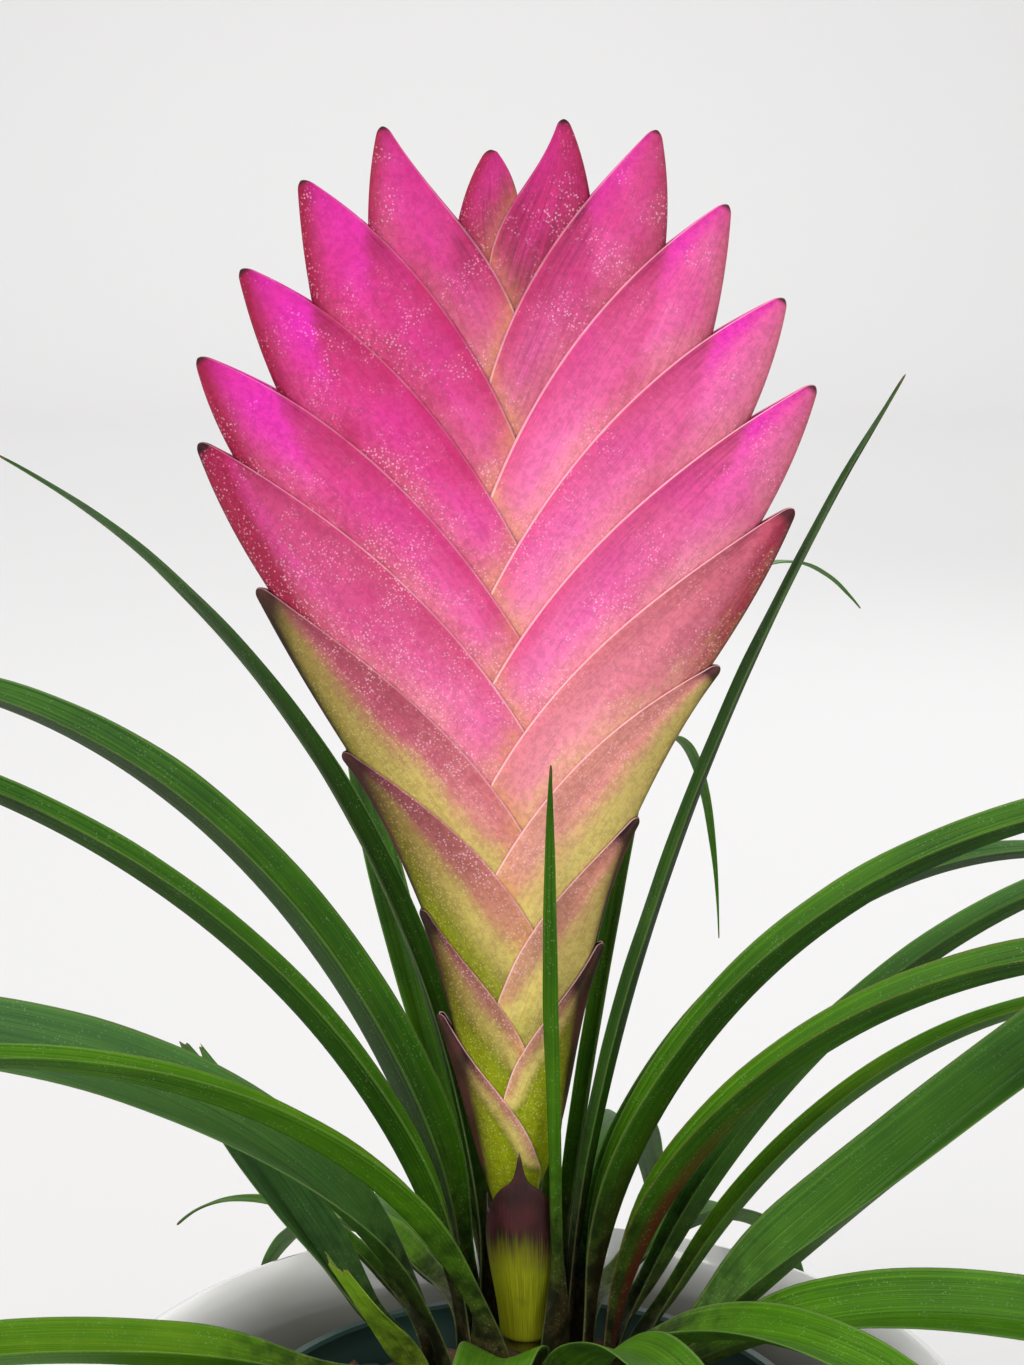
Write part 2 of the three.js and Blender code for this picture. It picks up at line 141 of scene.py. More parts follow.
def addLights():
    aim = view["aim"]
    addLight("windowLight", (-1.0, -1.2, 1.9), aim, 1.5, 46, (1.0, 0.995, 0.98))
    addLight("frontFill", (1.2, -1.9, 1.1), aim, 1.4, 13, (0.985, 0.99, 1.0))
    addLight("rimLight", (0.35, 0.7, 0.6), aim, 0.6, 1.2)
    addLight("wallWash", (0, 1.6, 1.5), (0, 2.0, 0.0), 1.4, 9)
    world = bpy.data.worlds.new("studioAir")
    world.use_nodes = True
    sky = world.node_tree.nodes["Background"]
    sky.inputs["Color"].default_value = (0.93, 0.935, 0.94, 1)
    sky.inputs["Strength"].default_value = 0.56
    bpy.context.scene.world = world
    bpy.context.scene.view_settings.view_transform = "Standard"


# materials: a wire is a socket that can be calculated with
class Wire:
    def __init__(self, paint, socket):
        self.paint = paint
        self.socket = socket

    def sum(self, operation, *values):
        return self.paint.node("ShaderNodeMath", {"operation": operation}, values)

    def __add__(self, other):
        return self.sum("ADD", self, other)

    def __mul__(self, other):
        return self.sum("MULTIPLY", self, other)

    def __sub__(self, other):
        return self.sum("SUBTRACT", self, other)

    def __rsub__(self, other):
        return self.sum("SUBTRACT", other, self)

    __radd__ = __add__
    __rmul__ = __mul__

    def step(self, low, high, start=0.0, end=1.0):
        settings = {"interpolation_type": "SMOOTHSTEP"}
        return self.paint.node("ShaderNodeMapRange", settings, [self, low, high, start, end])


class Paint:
    def __init__(self, name):
        self.material = bpy.data.materials.new(name)
        self.material.use_nodes = True
        self.tree = self.material.node_tree
        self.tree.nodes.clear()

    def node(self, kind, settings=None, inputs=None, output=0):
        made = self.tree.nodes.new(kind)
        for key, value in (settings or {}).items():
            if key == "stops":
                first, *middle, last = value
                elements = made.color_ramp.elements
                for element, (place, tint) in zip(elements, (first, last)):
                    element.position = place
                    element.color = tint
                for place, tint in middle:
                    elements.new(place).color = tint
            else:
                setattr(made, key, value)
        pairs = inputs.items() if isinstance(inputs, dict) else enumerate(inputs or [])
        for key, value in pairs:
            if isinstance(value, Wire):
                self.tree.links.new(value.socket, made.inputs[key])
            else:
                made.inputs[key].default_value = value
        return Wire(self, made.outputs[output]) if made.outputs else None

    def value(self, name):
        # a number that is stored on the piece's points
        return self.node("ShaderNodeAttribute", {"attribute_name": name}, None, 2)

    def place(self, scale=(1, 1, 1)):
        spot = self.node("ShaderNodeTexCoord", None, None, 3)
        return self.node("ShaderNodeMapping", None, {"Vector": spot, "Scale": scale})

    def surface(self, scale=(1, 1, 1)):
        # the piece's own u along it and v across it
        spot = self.node("ShaderNodeUVMap", {"uv_map": "UVMap"})
        return self.node("ShaderNodeMapping", None, {"Vector": spot, "Scale": scale})

    def noise(self, where, scale, detail=2.0, roughness=0.5):
        inputs = {"Vector": where, "Scale": scale, "Detail": detail, "Roughness": roughness}
        return self.node("ShaderNodeTexNoise", None, inputs)

    def mix(self, amount, under, over, kind="MIX"):
        settings = {"data_type": "RGBA", "blend_type": kind}
        return self.node("ShaderNodeMix", settings, {0: amount, 6: under, 7: over}, 2)

    def ramp(self, amount, stops):
        return self.node("ShaderNodeValToRGB", {"stops": stops}, [amount])

    def bump(self, height, distance, strength):
        inputs = {"Strength": strength, "Distance": distance, "Height": height}
        return self.node("ShaderNodeBump", None, inputs)

    def shader(self, inputs):
        skin = self.node("ShaderNodeBsdfPrincipled", None, inputs)
        self.node("ShaderNodeOutputMaterial", None, {"Surface": skin})
        return self.material


# helpers for making pieces
def startGrid(name, along, across):
    # a unit grid, whose points the piece then places one by one
    bpy.ops.object.select_all(action="DESELECT")
    bpy.ops.mesh.primitive_grid_add(x_subdivisions=along, y_subdivisions=across, size=1)
    piece = bpy.context.object
    piece.name = name
    return piece


def storeValue(piece, name, values):
    layer = piece.data.attributes.new(name, "FLOAT", "POINT")
    for i, value in enumerate(values):
        layer.data[i].value = value


def weld(distance):
    bpy.ops.object.mode_set(mode="EDIT")
    bpy.ops.mesh.select_all(action="SELECT")
    bpy.ops.mesh.remove_doubles(threshold=distance)
    bpy.ops.object.mode_set(mode="OBJECT")


def thicken(piece, wall, offset, group=""):
    # a wall in mm, thinner where the points' weights in the group say so
    shell = piece.modifiers.new("wall", "SOLIDIFY")
    shell.thickness = wall * mm
    shell.offset = offset
    shell.vertex_group = group
    soft = piece.modifiers.new("soft", "SUBSURF")
    soft.levels = 1
    soft.render_levels = 1
    for modifier in list(piece.modifiers):
        bpy.ops.object.modifier_apply(modifier=modifier.name)
    bpy.ops.object.shade_smooth()


def turned(name, sides, profile):
    # a filled ring drawn up and over along the profile, so its last face closes the inside
    bpy.ops.object.select_all(action="DESELECT")
    radius, height = profile[0]
    bpy.ops.mesh.primitive_circle_add(
        vertices=sides, radius=radius * mm, fill_type="NGON", location=(0, 0, height * mm)
    )
    piece = bpy.context.object
    piece.name = name
    bpy.ops.object.mode_set(mode="EDIT")
    bpy.ops.mesh.select_all(action="SELECT")
    for nextRadius, nextHeight in profile[1:]:
        move = {"value": (0, 0, (nextHeight - height) * mm)}
        bpy.ops.mesh.extrude_region_move(TRANSFORM_OT_translate=move)
        share = nextRadius / radius
        bpy.ops.transform.resize(value=(share, share, 1))
        radius, height = nextRadius, nextHeight
    bpy.ops.mesh.select_all(action="SELECT")
    bpy.ops.mesh.normals_make_consistent(inside=False)
    bpy.ops.object.mode_set(mode="OBJECT")
    bpy.ops.object.transform_apply(location=True, rotation=True, scale=True)
    return piece


def keep(piece, material, slot, *nodes):
    piece.data.materials.clear()
    piece.data.materials.append(material)
    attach(piece, "root")
    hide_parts(*nodes)


addCamera()
addStudio()
addLights()
print("camera, paper and lights placed")


# flower spike: the same curves as its solid, finer and as thin folded bracts, in mm and degrees
spike = {
    "lean": -0.018,
    "leanFrom": 86,
    "keelThickness": 0.4,
    "depth": 2.4,
    "footDepth": 1.1,
    "bractLean": 0.055,
    "overshoot": 1.8,
    "slope": 60,
    "marginLift": 18,
    "marginReach": 0.36,
    "past": 2.8,
    "steps": 44,
    "halfSteps": 11,
    "wall": 0.16,
    "sheathWall": 0.45,
    "clearance": 0.1,
    "nib": 1.1,
    "nibLength": 0.75,
    "stalk": (84.2, 111, 2.6),
}
# bracts from the top down: tip across and up and the height where the margin crosses the middle, in mm, then
# in degrees how much lower the keel sets off than its chord, how much steeper it ends and how much flatter
# the margin ends
leftBracts = [
    (-4.1, 233.5, 230.5, 56, 39, 10),
    (-16.4, 236.1, 216.5, 50, 32, -4),
    (-25.7, 230.1, 202, 38, 23, 18),
    (-32.8, 220.1, 190, 9, 19, 22),
    (-38, 210, 179.3, -8, 22, 20),
    (-38.2, 200.1, 168.6, 0, 16, 14),
    (-31.8, 182.9, 155.3, 0, 5, 10),
    (-22, 162.9, 145.2, 16, -10, 12),
    (-12.7, 143.4, 126.6, 20, -3, -2),
    (-10.6, 130, 116, 14, -2, -10),
]
rightBracts = [
    (4.1, 236.9, 224.5, 50, 35, -12),
    (14.7, 235.7, 211.8, 32, 31, 10),
    (22.9, 227.4, 198.5, 28, 23, 17),
    (29.6, 216.8, 187.2, 4, 22, 19),
    (33.4, 206.8, 176.3, 2, 19, 13),
    (31.3, 192.4, 164.7, -2, 11, 11),
    (23, 173.5, 153, 10, -9, 18),
    (13.5, 154.9, 137.6, 20, -9, 6),
    (9.3, 139.1, 124.3, 20, -7, -6),
]
# each bract's colours from the top down. pale: how light its pink is. rose: deep rose with dark streaks.
# glow: magenta of the free point. dusty: how far the pink is salmon. green: its gain towards the lower edge,
# the keel and the base. dark: length of the dark point and of its fade in mm, and the strength of the dark
# keel. red: the keel's crimson, deeper on the left bracts, where it is partly painted shade
leftTints = [
    dict(pale=-0.1, rose=0.85, glow=0.3, dark=(0.5, 0.1, 0.1), red=0.8),
    dict(pale=0.3, rose=0.3, glow=0.4, dark=(0.5, 0.1, 0.1), red=0.8),
    dict(pale=0.15, rose=0.1, glow=0.75, dark=(0.5, 0.1, 0.1), red=1.0),
    dict(pale=0.15, glow=1.0, dark=(0.55, 0.1, 0.15), red=1.1),
    dict(pale=0.3, glow=1.0, dark=(0.6, 0.1, 0.2), red=1.3),
    dict(pale=0.45, glow=0.6, dusty=0.12, green=(0.12, 0.0, 0.06), dark=(0.7, 0.6, 0.6), red=2.2),
    dict(pale=0.4, dusty=0.7, green=(0.34, 0.6, 0.1), dark=(0.8, 4.5, 1.2), red=0.4),
    dict(pale=0.3, dusty=1.0, green=(0.72, 0.35, 0.2), dark=(1.4, 6.0, 1.1)),
    dict(pale=0.3, dusty=1.0, green=(0.72, 0.2, 0.9), dark=(1.4, 4.5, 1.0)),
    dict(pale=0.7, dusty=1.0, green=(0.9, 0.0, 1.8), dark=(3.4, 5.0, 3.0)),
]
rightTints = [
    dict(pale=0.1, rose=0.7, glow=0.35, dark=(0.6, 0.1, 0.15), red=0.5),
    dict(pale=0.4, rose=0.3, glow=0.6, dark=(0.4, 0.1, 0.1), red=0.5),
    dict(pale=0.65, glow=0.9, dark=(0.5, 0.1, 0.1), red=0.45),
    dict(pale=0.8, glow=1.0, dark=(0.5, 0.1, 0.1), red=0.4),
    dict(pale=1.0, glow=0.9, green=(0.05, 0.0, 0.0), dark=(0.6, 0.1, 0.2), red=0.5),
    dict(pale=1.0, glow=0.15, dusty=0.45, green=(0.2, 0.0, 0.1), dark=(0.8, 1.5, 0.7), red=1.1),
    dict(pale=1.0, dusty=0.85, green=(0.42, 0.2, 0.12), dark=(1.2, 1.2, 0.7), red=0.2),
    dict(pale=1.0, dusty=1.0, green=(0.45, 0.0, 0.5), dark=(1.8, 2.6, 1.4)),
    dict(pale=0.9, dusty=1.0, green=(0.9, -0.1, 1.7), dark=(3.4, 4.2, 3.0)),
]


def spikeX(z):
    return spike["lean"] * (z - spike["leanFrom"])


def bezier(points, t):
    a, b, c, d = points
    s = 1 - t
    return a * s ** 3 + b * 3 * s * s * t + c * 3 * s * t * t + d * t ** 3


def curveSpots(curve, count=40):
    spots = [bezier(curve, i / count) for i in range(count + 1)]
    return [(spot.x, spot.y) for spot in spots]


def bractShape(row, side):
    tipX, tipZ, cross, out, bow, shoulder = row
    # the keel starts below the crossing, less far on the small lower bracts
    baseZ = cross - lerp(19, 26, smooth((cross - 110) / 45))
    base = Vector((spikeX(baseZ), baseZ))
    tip = Vector((tipX, tipZ))
    over = spike["overshoot"]
    crossing = Vector((spikeX(cross) - side * over, cross - over * math.tan(math.radians(spike["slope"]))))

    def heading(degrees, length):
        angle = math.radians(degrees)
        return Vector((side * math.cos(angle), math.sin(angle))) * length

    def slant(start):
        return math.degrees(math.atan2(tip.y - start.y, side * (tip.x - start.x)))

    keelEnd = slant(base) + bow
    marginEnd = slant(crossing) - shoulder
    nib = heading((keelEnd + marginEnd) / 2 + 90, spike["nib"] / 2)
    reach = (tip - base).length / 3
    span = (tip - crossing).length * spike["marginReach"]
    low, high = tip - nib, tip + nib
    keel = (base, base + heading(slant(base) - out, reach), low - heading(keelEnd, reach), low)
    start = crossing + heading(slant(crossing) + spike["marginLift"], span)
    margin = (crossing, start, high - heading(marginEnd, span), high)
    return {
        "base": base,
        "cross": cross,
        "keel": keel,
        "margin": margin,
        "crossing": crossing,
        "past": crossing - (start - crossing).normalized() * spike["past"],
        "side": side,
        "length": (tip - base).length,
        "line": curveSpots(keel),
        "brim": curveSpots(margin),
    }


def bractEdge(shape, u):
    # the margin runs on past the middle, where the other side's next bract lies over it, before it turns to
    # the base
    turnAt, pastAt = 0.35, 0.25
    if u < pastAt:
        return shape["base"].lerp(shape["past"], u / pastAt)
    if u < turnAt:
        return shape["past"].lerp(shape["crossing"], (u - pastAt) / (turnAt - pastAt))
    return bezier(shape["margin"], (u - turnAt) / (1 - turnAt))


def bractRow(shape, u):
    # the keel's and the margin's points at u, drawn together at the very end so that the nib is round
    keelSpot = bezier(shape["keel"], u)
    edgeSpot = bractEdge(shape, u)
    toTip = (1 - u) * shape["length"] / spike["nibLength"]
    if toTip < 1:
        middle = (keelSpot + edgeSpot) / 2
        share = math.sqrt(1 - (1 - toTip) ** 2)
        keelSpot = middle.lerp(keelSpot, share)
        edgeSpot = middle.lerp(edgeSpot, share)
    return keelSpot, edgeSpot


def bractDepth(shape, fromKeel, x, z):
    # half the spike's depth at a point: thin at the keel, full in the middle and low down
    outward = min(abs(x - spikeX(z)) / 38, 1)
    upward = clamp((z - 190) / 48)
    lens = (1 - 0.65 * outward ** 2) * (1 - 0.7 * upward ** 2)
    foot = spike["footDepth"] * (1 - smooth((z - 105) / 40))
    fill = 1 - math.exp(-fromKeel / lerp(3, 6, smooth((shape["cross"] - 112) / 50)))
    lean = spike["bractLean"] * (z - shape["base"].y)
    return spike["keelThickness"] + fill * lens * (spike["depth"] + foot + lean)


def insideBract(shape, x, z):
    # how far inside the keel line of a bract a point lies, in mm, or 0 outside it
    line = shape["line"]
    i = min(range(len(line)), key=lambda k: (x - line[k][0]) ** 2 + (z - line[k][1]) ** 2)
    if i in (0, len(line) - 1):
        return 0.0
    ahead = (line[i + 1][0] - line[i - 1][0], line[i + 1][1] - line[i - 1][1])
    turn = (ahead[0] * (z - line[i][1]) - ahead[1] * (x - line[i][0])) * shape["side"]
    return math.hypot(x - line[i][0], z - line[i][1]) if turn > 0 else 0.0


def nearness(line, x, z):
    return min(math.hypot(x - spot[0], z - spot[1]) for spot in line)


# what already lies under the next bract: its half depth in mm on a fine grid of places
cell = 0.7
covered = {}


def coveredDepth(x, z):
    column = x / cell
    row = z / cell
    i, j = math.floor(column), math.floor(row)
    a, b = column - i, row - j
    near = covered.get((i, j), 0) * (1 - a) + covered.get((i + 1, j), 0) * a
    far = covered.get((i, j + 1), 0) * (1 - a) + covered.get((i + 1, j + 1), 0) * a
    return near * (1 - b) + far * b


def restingDepth(shape, v, across, x, z):
    # each bract presses its margins on the ones above, which were made before it
    depth = bractDepth(shape, across * v, x, z)
    depth *= smooth(v / 0.09) ** 0.5 if v < 0.09 else 1
    depth *= 1 - 0.55 * smooth(v, 0.4, 1.0)
    depth *= lerp(0.82, 1, smooth(z, 100, 120))
    under = coveredDepth(x, z)
    if under > 0.05:
        depth = max(depth, under + spike["clearance"] * smooth(v, 0, 0.05))
    return depth


def markCovered(shape, rows=120, columns=34):
    spots = []
    for i in range(rows + 1):
        keelSpot, edgeSpot = bractRow(shape, i / rows)
        across = (edgeSpot - keelSpot).length
        for k in range(columns + 1):
            v = k / columns
            spot = keelSpot.lerp(edgeSpot, v)
            depth = restingDepth(shape, v, across, spot.x, spot.y) + spike["wall"]
            spots.append((round(spot.x / cell), round(spot.y / cell), depth))
    for i, j, depth in spots:
        covered[(i, j)] = max(covered.get((i, j), 0), depth)


def addBract(name, shape, tints, around, material):
    # around: the same side's bracts above and below and the other side's below, where there is one
    above, below, facing = around
    piece = startGrid(name, spike["steps"], 2 * spike["halfSteps"])
    values = {}
    length = shape["length"]
    onLeft = shape["side"] < 0
    # the crimson keel is narrower and deeper on the left, partly as painted shade of the side turned from the
    # light
    redWidth = 2.6 if onLeft else 5
    edgeGreen, keelGreen, baseGreen = tints.get("green", (0, 0, 0))
    dusty, rose = tints.get("dusty", 0), tints.get("rose", 0)
    point, fade, rim = tints["dark"]
    for vertex in piece.data.vertices:
        # rows crowd together towards the tip
        u = math.sin((vertex.co.x + 0.5) * math.pi / 2)
        s = 2 * vertex.co.y
        v = abs(s) ** 1.15
        keelSpot, edgeSpot = bractRow(shape, u)
        across = (edgeSpot - keelSpot).length
        spot = keelSpot.lerp(edgeSpot, v)
        x, z = spot.x, spot.y
        depth = restingDepth(shape, v, across, x, z)
        # faint lengthwise pleats
        depth += 0.05 * math.sin(v * 34 + u * 3) * v * (1 - v) * smooth(u, 0.1, 0.3)
        front = -1 if s * shape["side"] > 0 else 1
        vertex.co = (x * mm, front * max(depth, 0.02) * mm * (1 if v > 0 else 0), z * mm)
        fromKeel = across * v
        toTip = length * (1 - u)
        lying = insideBract(above, x, z) if above else 0
        doubled = smooth(lying)
        toEdge = min(fromKeel, nearness(below["brim"], x, z)) if below else fromKeel
        band = nearness(shape["brim"], x, z)
        band /= band + toEdge + 0.01
        free = (1 - doubled) * smooth(u, 0.5, 0.85)
        green = edgeGreen * smooth(band, 0.12, 0.95) + keelGreen * math.exp(-fromKeel / 3.5)
        tipDark = math.exp(-((toTip / point) ** 2) * 0.5) + 0.75 * math.exp(-toTip / fade)
        keelDark = rim * math.exp(-fromKeel / 0.6) * smooth(u, 0.25, 0.6)
        fading = 0.8 * rim * math.exp(-fromKeel / 2.5) * math.exp(-toTip / (2.5 * fade))
        inward = smooth(band, 0.3, 0.85) if onLeft else smooth(band, 0.12, 0.5)
        middle = 1 - smooth(abs(x - spikeX(z)), 3, 9)
        warm = math.exp(-nearness(facing["brim"], x, z) / 1.3) if facing else 0
        # a painted shadow at the notch, along the margin where the bract above goes under this one
        notchShadow = doubled * math.exp(-band / 0.25) * math.exp(-lying / 3) * smooth(u, 0.4, 0.55)
        found = {
            "band": band,
            "pale": tints["pale"] + 0.25 * (1 - smooth(u, 0.4, 0.6)),
            "rose": rose,
            "dusty": dusty,
            "green": green + baseGreen * (1 - u) * smooth(band, -0.1, 0.5) - 0.1,
            "dark": max(tipDark, keelDark) + fading,
            "glow": tints.get("glow", 0) * free * (1 - 0.92 * inward),
            "red": tints.get("red", 0) * math.exp(-fromKeel / redWidth) * smooth(u, 0.35, 0.8),
            "warm": warm * middle * (1 - 0.7 * rose),
            # under: painted shade of the double layer, where this bract lies over the one above
            "under": doubled * (0.25 + 0.75 * math.exp(-lying / 4)) * smooth(u, 0.45, 0.6),
            # streak: the notch's painted shadow and the rose bracts' own dark streaks
            "streak": 1.3 * notchShadow + 0.75 * rose * (1 - smooth(u, 0.5, 0.95)),
            "margin": across * (1 - v),
            "low": 1 - clamp((z - 110) / 100),
            "tan": dusty * smooth(u, 0.4, 0.85),
        }
        for key, number in found.items():
            values.setdefault(key, []).append(number)
    for key, numbers in values.items():
        storeValue(piece, key, numbers)
    markCovered(shape)
    weld(0.00002)
    thicken(piece, spike["wall"], -1)
    keep(piece, material, "bract", "quill")


def bractMaterial():
    paint = Paint("bractSkin")
    streak = paint.noise(paint.surface((3.0, 52.0, 1)), 1.0, 3.0, 0.65)
    fine = paint.noise(paint.surface((5.0, 170.0, 1)), 1.0, 2.0, 0.6)
    cloud = paint.noise(paint.place(), 95.0, 2.0, 0.5)
    patch = paint.noise(paint.place(), 210.0, 4.0, 0.7)
    grain = paint.noise(paint.place(), 1300.0, 3.0, 0.7)
    band = paint.value("band") + (cloud - 0.5) * 0.3 + (grain - 0.5) * 0.3
    # pink across the band that shows, from the margin down: deep and light kinds
    deep = paint.ramp(band, [(0.0, colour(190, 36, 98)), (0.3, colour(209, 50, 122)),
                             (0.6, colour(224, 56, 144)), (0.95, colour(196, 58, 108))])
    light = paint.ramp(band, [(0.0, colour(230, 84, 138)), (0.3, colour(243, 110, 168)),
                              (0.6, colour(246, 122, 178)), (0.95, colour(242, 144, 160))])
    pale = paint.value("pale") + (streak - 0.5) * 0.6 + (patch - 0.5) * 0.7 + (cloud - 0.5) * 0.4
    pink = paint.mix(pale.step(-0.1, 1.0), deep, light)
    pink = paint.mix(cloud.step(0.5, 0.7) * 0.35, pink, colour(230, 52, 162))
    pink = paint.mix(fine.step(0.5, 0.85) * 0.35, pink, colour(184, 30, 94))
    rose = paint.value("rose") * (0.7 + (streak - 0.5) * 1.8)
    pink = paint.mix(rose, pink, colour(164, 30, 76))
    tan = paint.value("tan")
    dusty = paint.value("dusty")
    salmon = paint.mix(pale.step(0.2, 1.1), colour(200, 108, 108), colour(238, 170, 142))
    salmon = paint.mix(tan * (0.75 - pale.step(0.2, 1.1) * 0.65), salmon, colour(122, 54, 66))
    salmon = paint.mix(paint.value("low").step(0.45, 0.85) * 0.8, salmon, colour(190, 146, 106))
    pink = paint.mix(dusty, pink, salmon)
    # painted shade where the bract lies over the one above, deepest near that bract's hidden keel
    under = paint.value("under") * (0.8 + (patch - 0.5) * 0.9)
    overlapShade = paint.mix(pale.step(0.2, 1.1), colour(138, 72, 82), colour(214, 128, 120))
    pink = paint.mix(under * 0.6, pink, paint.mix(dusty, colour(182, 38, 98), overlapShade))
    glow = paint.value("glow") * (0.9 + (patch - 0.5) * 1.3 + (grain - 0.5) * 0.5) * (1 - dusty)
    pink = paint.mix(glow, pink, colour(222, 40, 172))
    red = paint.value("red") * (1 + (patch - 0.5) * 0.7)
    pink = paint.mix(red.step(0.05, 0.9) * 0.9, pink, colour(152, 20, 56))
    # the rose bracts' own dark streaks, with the painted shadow at the notch
    streaksAndShadow = paint.value("streak") * (0.4 + streak.step(0.35, 0.7))
    pink = paint.mix(streaksAndShadow * 0.85, pink, colour(104, 18, 66))
    warm = paint.value("warm") * (0.6 + streak * 0.8)
    pink = paint.mix(warm * 0.8, pink, colour(226, 168, 96))
    # yellow-green and olive of the lower bracts
    green = paint.value("green") + (streak - 0.5) * 0.3 + (patch - 0.5) * 0.3 + (fine - 0.5) * 0.14
    straw = paint.mix(pale.step(0.2, 1.1), colour(186, 164, 92), colour(226, 200, 120))
    leafy = paint.mix(green.step(0.4, 0.95), straw, colour(110, 118, 8))
    leafy = paint.mix(streak.step(0.4, 0.75) * 0.4, leafy, colour(204, 196, 66))
    leafy = paint.mix(paint.value("green").step(0.7, 1.1) * 0.8, leafy, colour(146, 160, 2))
    leafy = paint.mix(tan * (0.7 - pale.step(0.2, 1.1) * 0.4), leafy, colour(104, 76, 34))
    skin = paint.mix(green.step(0.05, 0.42), pink, leafy)
    skin = paint.mix(grain.step(0.4, 0.62) * 0.25, skin, colour(150, 110, 120), "MULTIPLY")
    # pale specks, small and many
    small = paint.node("ShaderNodeTexVoronoi", None, {"Vector": paint.place(), "Scale": 2500.0})
    large = paint.node("ShaderNodeTexVoronoi", None, {"Vector": paint.place(), "Scale": 1750.0})
    crowd = patch + (paint.value("low") - 0.5) * 0.3 + 0.02 + (paint.value("band") - 0.5) * 0.1 - pale * 0.06
    leafiness = paint.value("green").step(0, 0.35)
    specks = (1 - small.step(0.18, 0.36)) * crowd.step(0.32, 0.54) * 0.9
    specks = specks + (1 - large.step(0.14, 0.27)) * crowd.step(0.42, 0.6) * (0.8 - leafiness * 0.4)
    dot = paint.mix(leafiness, colour(255, 196, 220), colour(226, 208, 140))
    skin = paint.mix(specks * (0.55 - leafiness * 0.22), skin, dot)
    dark = paint.value("dark") + (streak - 0.5) * 0.5 + (patch - 0.5) * 0.35
    shade = paint.mix(cloud.step(0.4, 0.6), colour(30, 15, 15), colour(78, 34, 42))
    skin = paint.mix(dark.step(0.1, 1.0) * 0.94, skin, shade)
    line = 1 - paint.value("margin").step(0.05, 0.14)
    skin = paint.mix(line * pale.step(-0.2, 1.2) * 0.6, skin, colour(255, 200, 206))
    relief = streak * 0.6 + fine * 0.5 + grain * 0.25
    inputs = {
        "Base Color": skin,
        "Roughness": 0.46 + cloud * 0.12,
        "Subsurface Weight": 0.15,
        "Subsurface Radius": (1.0, 0.3, 0.5),
        "Subsurface Scale": 0.0007,
        "Specular IOR Level": 0.16,
        "Normal": paint.bump(relief, 0.0002, 0.6),
    }
    return paint.shader(inputs)


def addStalk(material):
    bottom, top, radius = spike["stalk"]
    rings, straight = 12, 8  # it tapers above its straight part
    profile = []
    for i in range(rings + 1):
        profile.append((radius * 0.86 ** max(i - straight, 0), lerp(bottom, top, i / rings)))
    piece = turned("stalk", 20, profile)
    for point in piece.data.vertices:
        point.co.x += spikeX(point.co.z / mm) * mm
    bpy.ops.object.shade_smooth_by_angle(angle=math.radians(50))
    keep(piece, material, "bract", "quill")


# sheaths clasp the stalk below the bracts: facing and spread in degrees, heights and radius in mm, and how
# strong the maroon cap is
sheaths = [
    dict(name="sheath_left", facing=180, radius=4.6, bottom=87.5, shoulder=103, point=107, spread=170,
         cap=0.5),
    dict(name="sheath_right", facing=0, radius=4.4, bottom=87.5, shoulder=102, point=106, spread=170,
         cap=0.5),
    dict(name="sheath_front", facing=266, radius=4.9, bottom=87.5, shoulder=107.2, point=114.6, spread=150,
         cap=1.0),
]


def addSheath(sheath, material):
    piece = startGrid(sheath["name"], 36, 24)
    bottom = sheath["bottom"]
    shoulder = sheath["shoulder"]
    caps = []
    for point in piece.data.vertices:
        across = 2 * point.co.x
        rise = point.co.y + 0.5
        angle = math.radians(sheath["facing"] + sheath["spread"] / 2 * across)
        # a rounded top with a narrow drawn-out point
        lift = 0.32 * (1 - across ** 2) + 0.68 * math.exp(-abs(across) / 0.07)
        top = shoulder + (sheath["point"] - shoulder) * lift - 6 * abs(across) ** 2.5
        z = lerp(bottom, top, rise)
        radius = sheath["radius"] * lerp(0.67, 1, smooth((z - bottom) / 15))
        radius += 0.2 * smooth(z, shoulder - 4, shoulder + 5) * abs(across)
        point.co = (
            (spikeX(z) + radius * math.cos(angle)) * mm,
            radius * math.sin(angle) * mm,
            z * mm,
        )
        caps.append((z - (shoulder - 6.5 - 2.0 * abs(across))) * sheath["cap"])
    storeValue(piece, "cap", caps)
    thicken(piece, spike["sheathWall"], -1)
    keep(piece, material, "bract", "quill")


def sheathMaterial():
    paint = Paint("sheathSkin")
    streak = paint.noise(paint.surface((60.0, 2.0, 1)), 1.0, 3.0, 0.65)
    fine = paint.noise(paint.surface((150.0, 3.0, 1)), 1.0, 2.0, 0.65)
    cloud = paint.noise(paint.place(), 260.0, 2.0)
    body = paint.mix(streak.step(0.3, 0.7), colour(122, 130, 10), colour(172, 174, 24))
    body = paint.mix(cloud.step(0.5, 0.75) * 0.5, body, colour(106, 124, 18))
    body = paint.mix(fine.step(0.5, 0.8) * 0.3, body, colour(104, 110, 16))
    cap = paint.value("cap") + (streak - 0.5) * 9 + (fine - 0.5) * 4 + (cloud - 0.5) * 2
    maroon = paint.mix(cloud.step(0.35, 0.7), colour(34, 10, 12), colour(72, 26, 30))
    skin = paint.mix(cap.step(-3.5, 3.2), body, maroon)
    inputs = {
        "Base Color": skin,
        "Roughness": 0.42 + cloud * 0.15,
        "Subsurface Weight": 0.15,
        "Subsurface Radius": (1.0, 0.6, 0.3),
        "Subsurface Scale": 0.001,
        "Normal": paint.bump(streak, 0.0002, 0.5),
    }
    return paint.shader(inputs)


